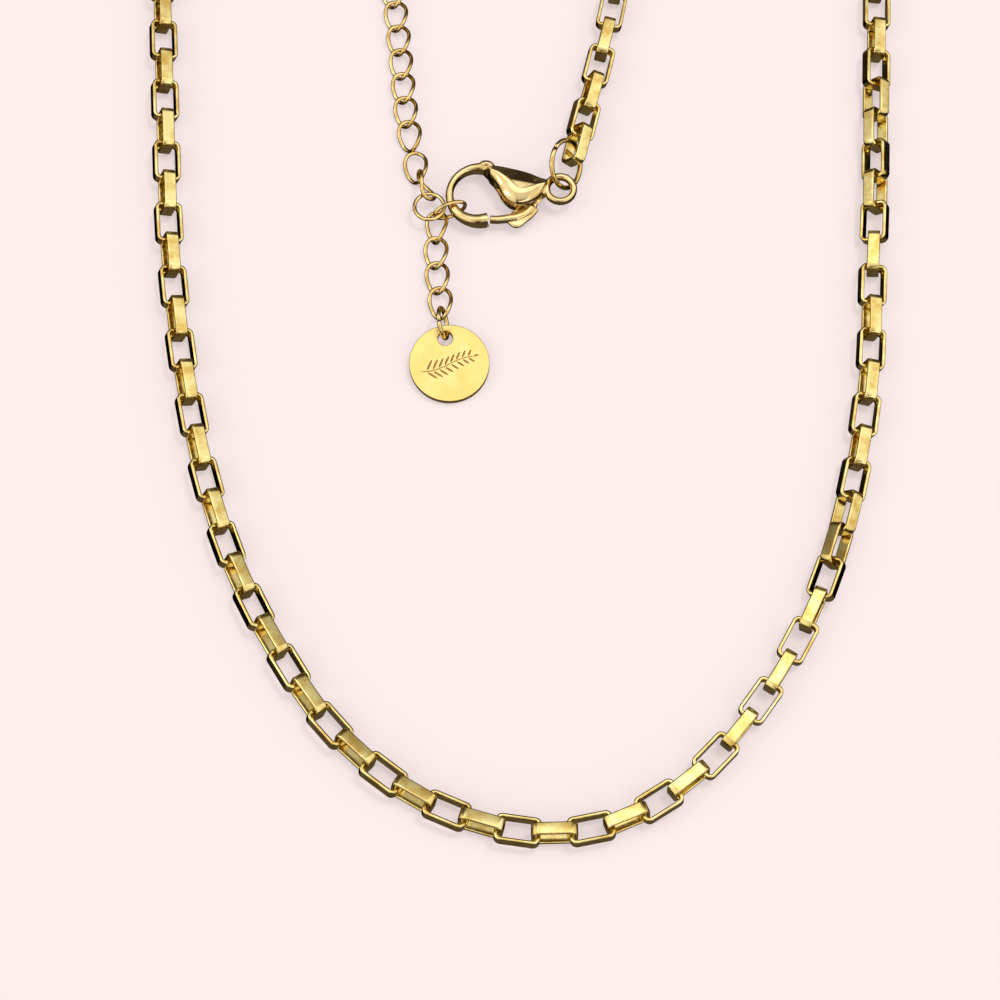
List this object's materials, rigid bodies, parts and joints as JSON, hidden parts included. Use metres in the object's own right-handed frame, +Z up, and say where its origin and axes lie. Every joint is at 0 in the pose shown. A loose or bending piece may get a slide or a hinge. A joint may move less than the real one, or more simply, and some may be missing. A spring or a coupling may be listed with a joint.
{
  "type": "chain necklace",
  "caption": "Gold-tone long-box link necklace lying flat in a closed loop, with a curb extender chain, a lobster clasp with sprung lever, jump rings and a plain round tag",
  "frame": {"origin": "middle of the outline, on the surface the necklace lies on", "axes": "+Z up off that surface, +Y from the front of the chain to its back loops, +X to the wearer's side where the clasp's ring is"},
  "size_m": [0.0733, 0.1163, 0.0041],
  "materials": {
    "box_chain_gold": "polished gold plate",
    "extender_gold": "polished gold plate",
    "clasp_gold": "polished gold plate",
    "tag_gold": "satin gold plate",
    "spring_steel": "bright wire"
  },
  "bodies": {
    "front_chain": {"front_chain": "box_chain_gold"},
    "right_chain_1": {"right_chain_1": "box_chain_gold"},
    "left_chain_1": {"left_chain_1": "box_chain_gold"},
    "right_chain_2": {"right_chain_2": "box_chain_gold"},
    "left_chain_2": {"left_chain_2": "box_chain_gold"},
    "right_chain_3": {"right_chain_3": "box_chain_gold"},
    "left_chain_3": {"left_chain_3": "box_chain_gold"},
    "right_chain_4": {"right_chain_4": "box_chain_gold"},
    "left_chain_4": {"left_chain_4": "box_chain_gold"},
    "right_chain_5": {"right_chain_5": "box_chain_gold"},
    "left_chain_5": {"left_chain_5": "box_chain_gold"},
    "right_chain_6": {"right_chain_6": "box_chain_gold"},
    "left_chain_6": {"left_chain_6": "box_chain_gold"},
    "right_chain_7": {"right_chain_7": "box_chain_gold"},
    "left_chain_7": {"left_chain_7": "box_chain_gold"},
    "right_chain_8": {"right_chain_8": "box_chain_gold"},
    "left_chain_8": {"left_chain_8": "box_chain_gold"},
    "right_back_loop": {"right_back_loop": "box_chain_gold"},
    "left_back_loop": {"left_back_loop": "box_chain_gold"},
    "right_back_chain_8": {"right_back_chain_8": "box_chain_gold"},
    "left_back_chain": {"left_back_chain": "box_chain_gold"},
    "right_back_chain_7": {"right_back_chain_7": "box_chain_gold"},
    "extender_chain_7": {"extender_chain_7": "extender_gold"},
    "right_back_chain_6": {"right_back_chain_6": "box_chain_gold"},
    "extender_chain_6": {"extender_chain_6": "extender_gold"},
    "clasp": {"clasp_body": "clasp_gold", "clasp_rivet": "clasp_gold", "clasp_spring": "spring_steel", "right_back_end": "box_chain_gold"},
    "extender_hooked": {"extender_hooked": "extender_gold"},
    "tail_link_1": {"tail_link_1": "extender_gold"},
    "tail_link_2": {"tail_link_2": "extender_gold"},
    "tail_link_3": {"tail_link_3": "extender_gold"},
    "tail_link_4": {"tail_link_4": "extender_gold"},
    "tag_ring": {"tag_ring": "extender_gold"},
    "tag_disc": {"tag_disc": "tag_gold"},
    "clasp_ring": {"clasp_ring": "extender_gold"},
    "extender_ring": {"extender_ring": "extender_gold"},
    "clasp_lever": {"clasp_lever": "clasp_gold"}
  },
  "joints": [
    {"name": "fold_1", "type": "hinge", "parent": "front_chain", "child": "right_chain_1", "pos_m": [0.01632, -0.05126, 0.0011], "axis": [0.9999, -0.0168, 0], "range_deg": [-7, 12]},
    {"name": "fold_1_left", "type": "hinge", "parent": "front_chain", "child": "left_chain_1", "pos_m": [-0.01239, -0.05078, 0.0011], "axis": [0.9999, -0.0168, 0], "range_deg": [-7, 12]},
    {"name": "fold_2", "type": "hinge", "parent": "right_chain_1", "child": "right_chain_2", "pos_m": [0.02415, -0.04132, 0.0011], "axis": [1, -0.0073, 0], "range_deg": [-7, 12]},
    {"name": "fold_2_left", "type": "hinge", "parent": "left_chain_1", "child": "left_chain_2", "pos_m": [-0.02037, -0.04099, 0.0011], "axis": [1, -0.0073, 0], "range_deg": [-7, 12]},
    {"name": "fold_3", "type": "hinge", "parent": "right_chain_2", "child": "right_chain_3", "pos_m": [0.02923, -0.02971, 0.0011], "axis": [1, -0.0021, 0], "range_deg": [-7, 12]},
    {"name": "fold_3_left", "type": "hinge", "parent": "left_chain_2", "child": "left_chain_3", "pos_m": [-0.02591, -0.0296, 0.0011], "axis": [1, -0.0021, 0], "range_deg": [-7, 12]},
    {"name": "fold_4", "type": "hinge", "parent": "right_chain_3", "child": "right_chain_4", "pos_m": [0.03204, -0.01734, 0.0011], "axis": [1, 0.0001, 0], "range_deg": [-7, 12]},
    {"name": "fold_4_left", "type": "hinge", "parent": "left_chain_3", "child": "left_chain_4", "pos_m": [-0.02922, -0.01735, 0.0011], "axis": [1, 0.0001, 0], "range_deg": [-7, 12]},
    {"name": "fold_5", "type": "hinge", "parent": "right_chain_4", "child": "right_chain_5", "pos_m": [0.0332, -0.0047, 0.0011], "axis": [1, 0.0019, 0], "range_deg": [-7, 12]},
    {"name": "fold_5_left", "type": "hinge", "parent": "left_chain_4", "child": "left_chain_5", "pos_m": [-0.03127, -0.00482, 0.0011], "axis": [1, 0.0019, 0], "range_deg": [-7, 12]},
    {"name": "fold_6", "type": "hinge", "parent": "right_chain_5", "child": "right_chain_6", "pos_m": [0.03408, 0.00797, 0.0011], "axis": [1, 0.0021, 0], "range_deg": [-7, 8]},
    {"name": "fold_6_left", "type": "hinge", "parent": "left_chain_5", "child": "left_chain_6", "pos_m": [-0.03235, 0.00784, 0.0011], "axis": [1, 0.0021, 0], "range_deg": [-7, 8]},
    {"name": "fold_7", "type": "hinge", "parent": "right_chain_6", "child": "right_chain_7", "pos_m": [0.03478, 0.02065, 0.0011], "axis": [1, 0.0021, 0], "range_deg": [-7, 12]},
    {"name": "fold_7_left", "type": "hinge", "parent": "left_chain_6", "child": "left_chain_7", "pos_m": [-0.03319, 0.02051, 0.0011], "axis": [1, 0.0021, 0], "range_deg": [-7, 12]},
    {"name": "fold_8", "type": "hinge", "parent": "right_chain_7", "child": "right_chain_8", "pos_m": [0.03529, 0.03334, 0.0011], "axis": [1, 0.0026, 0], "range_deg": [-7, 12]},
    {"name": "fold_8_left", "type": "hinge", "parent": "left_chain_7", "child": "left_chain_8", "pos_m": [-0.03426, 0.03316, 0.0011], "axis": [1, 0.0026, 0], "range_deg": [-7, 12]},
    {"name": "fold_9", "type": "hinge", "parent": "right_chain_8", "child": "right_back_loop", "pos_m": [0.03469, 0.04601, 0.0011], "axis": [1, 0.0027, 0], "range_deg": [-3, 12]},
    {"name": "fold_9_left", "type": "hinge", "parent": "left_chain_8", "child": "left_back_loop", "pos_m": [-0.03524, 0.04582, 0.0011], "axis": [1, 0.0027, 0], "range_deg": [-3, 12]},
    {"name": "fold_9_right_back", "type": "hinge", "parent": "right_back_loop", "child": "right_back_chain_8", "pos_m": [0.013, 0.04595, 0.0011], "axis": [1, 0.0027, 0], "range_deg": [-12, 3]},
    {"name": "fold_9_left_back", "type": "hinge", "parent": "left_back_loop", "child": "left_back_chain", "pos_m": [-0.0153, 0.04587, 0.0011], "axis": [1, 0.0027, 0], "range_deg": [-12, 3]},
    {"name": "fold_8_right_back", "type": "hinge", "parent": "right_back_chain_8", "child": "right_back_chain_7", "pos_m": [0.01113, 0.03328, 0.0011], "axis": [1, 0.0026, 0], "range_deg": [-12, 7]},
    {"name": "fold_8_left_back", "type": "hinge", "parent": "left_back_chain", "child": "extender_chain_7", "pos_m": [-0.01294, 0.03322, 0.0011], "axis": [1, 0.0026, 0], "range_deg": [-12, 7]},
    {"name": "fold_7_right_back", "type": "hinge", "parent": "right_back_chain_7", "child": "right_back_chain_6", "pos_m": [0.00922, 0.0206, 0.0011], "axis": [1, 0.0021, 0], "range_deg": [-12, 7]},
    {"name": "fold_7_left_back", "type": "hinge", "parent": "extender_chain_7", "child": "extender_chain_6", "pos_m": [-0.01086, 0.02056, 0.0011], "axis": [1, 0.0021, 0], "range_deg": [-12, 7]},
    {"name": "fold_6_right_back", "type": "hinge", "parent": "right_back_chain_6", "child": "clasp", "pos_m": [0.00613, 0.00791, 0.0011], "axis": [1, 0.0021, 0], "range_deg": [-8, 7]},
    {"name": "fold_6_left_back", "type": "hinge", "parent": "extender_chain_6", "child": "extender_hooked", "pos_m": [-0.00935, 0.00788, 0.0011], "axis": [1, 0.0021, 0], "range_deg": [-8, 7]},
    {"name": "tail_1_swing", "type": "hinge", "parent": "extender_hooked", "child": "tail_link_1", "pos_m": [-0.0069, 0.0011, 0.001], "axis": [0, 0, 1], "range_deg": [-8, 8]},
    {"name": "tail_2_swing", "type": "hinge", "parent": "tail_link_1", "child": "tail_link_2", "pos_m": [-0.00698, -0.00155, 0.00085], "axis": [0, 0, 1], "range_deg": [-12, 12]},
    {"name": "tail_3_lift", "type": "hinge", "parent": "tail_link_2", "child": "tail_link_3", "pos_m": [-0.00695, -0.00405, 0.00085], "axis": [1, 0, 0], "range_deg": [-12, 12]},
    {"name": "tail_4_swing", "type": "hinge", "parent": "tail_link_3", "child": "tail_link_4", "pos_m": [-0.0067, -0.00655, 0.00085], "axis": [0, 0, 1], "range_deg": [-12, 12]},
    {"name": "tag_ring_swing", "type": "hinge", "parent": "tail_link_4", "child": "tag_ring", "pos_m": [-0.0064, -0.0091, 0.0009], "axis": [0, 0, 1], "range_deg": [-5, 15]},
    {"name": "tag_lift", "type": "hinge", "parent": "tag_ring", "child": "tag_disc", "pos_m": [-0.0061, -0.01038, 0.00095], "axis": [1, 0, 0], "range_deg": [-40, 2]},
    {"name": "clasp_ring_spin", "type": "hinge", "parent": "clasp", "child": "clasp_ring", "pos_m": [0.00505, 0.00565, 0.00207], "axis": [0.7839, -0.2699, 0.5592], "continuous": true},
    {"name": "extender_ring_spin", "type": "hinge", "parent": "left_back_chain", "child": "extender_ring", "pos_m": [-0.01365, 0.0354, 0.00204], "axis": [0.6915, 0.1983, 0.6947], "continuous": true},
    {"name": "lever_pivot", "type": "hinge", "parent": "clasp", "child": "clasp_lever", "pos_m": [0.0015, 0.00245, 0.0014], "axis": [0, 0, -1], "range_deg": [0, 24], "stiffness_Nm_per_rad": 0.0003, "springref_deg": -20.05, "deforming": ["clasp_spring"]}
  ],
  "couplings": [
    {"joint": "fold_1_left", "follows": "fold_1", "ratio": 1},
    {"joint": "fold_2_left", "follows": "fold_2", "ratio": 1},
    {"joint": "fold_3_left", "follows": "fold_3", "ratio": 1},
    {"joint": "fold_4_left", "follows": "fold_4", "ratio": 1},
    {"joint": "fold_5_left", "follows": "fold_5", "ratio": 1},
    {"joint": "fold_6_left", "follows": "fold_6", "ratio": 1},
    {"joint": "fold_7_left", "follows": "fold_7", "ratio": 1},
    {"joint": "fold_8_left", "follows": "fold_8", "ratio": 1},
    {"joint": "fold_9_left", "follows": "fold_9", "ratio": 1},
    {"joint": "fold_9_right_back", "follows": "fold_9", "ratio": -1},
    {"joint": "fold_9_left_back", "follows": "fold_9", "ratio": -1},
    {"joint": "fold_8_right_back", "follows": "fold_8", "ratio": -1},
    {"joint": "fold_8_left_back", "follows": "fold_8", "ratio": -1},
    {"joint": "fold_7_right_back", "follows": "fold_7", "ratio": -1},
    {"joint": "fold_7_left_back", "follows": "fold_7", "ratio": -1},
    {"joint": "fold_6_right_back", "follows": "fold_6", "ratio": -1},
    {"joint": "fold_6_left_back", "follows": "fold_6", "ratio": -1}
  ]
}
